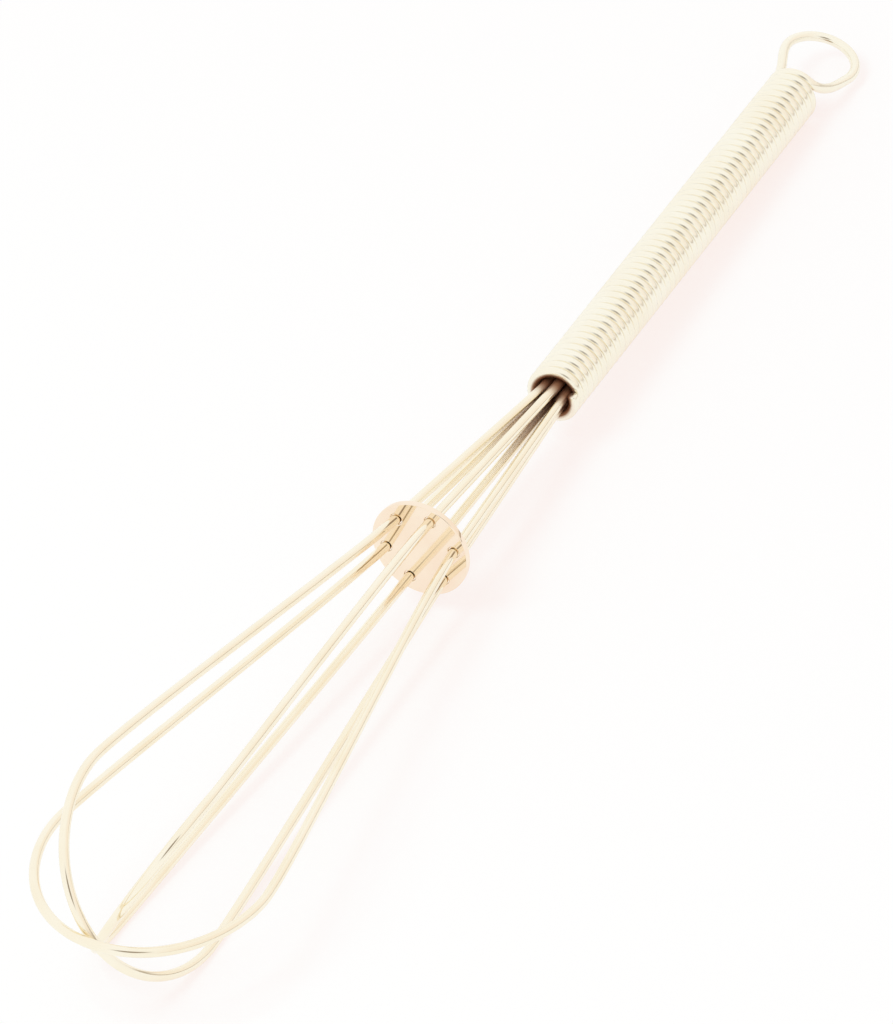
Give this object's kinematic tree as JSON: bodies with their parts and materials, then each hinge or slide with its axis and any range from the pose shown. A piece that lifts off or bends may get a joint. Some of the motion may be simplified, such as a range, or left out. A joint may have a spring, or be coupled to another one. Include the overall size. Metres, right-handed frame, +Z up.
{
  "type": "wire whisk",
  "caption": "Small gold-finished wire whisk: crossed wire loops, a round spreader disc and a coil handle whose wire ends in a hanging ring, for beating and stirring by hand.",
  "frame": {"origin": "centre of the bounding box on the table surface that the whisk lies on", "axes": "+X along the whisk from the head towards the hanging ring, +Z up from the table"},
  "size_m": [0.1998, 0.027, 0.0249],
  "materials": {
    "wire_gold": "polished pale gold plating on drawn wire",
    "disc_gold": "mirror-polished gold plating on stamped sheet",
    "coil_gold": "polished pale gold plating on wound wire",
    "core_steel": "plain drawn wire, hidden in the handle",
    "braze": "matt brazing metal, hidden in the handle"
  },
  "bodies": {
    "root": {"whisk_loop_inner": "wire_gold", "whisk_loop_middle": "wire_gold", "whisk_loop_outer": "wire_gold", "spreader_disc": "disc_gold", "handle_coil": "coil_gold", "hanging_ring": "coil_gold", "core_wire": "core_steel", "braze_plug": "braze"}
  },
  "joints": []
}
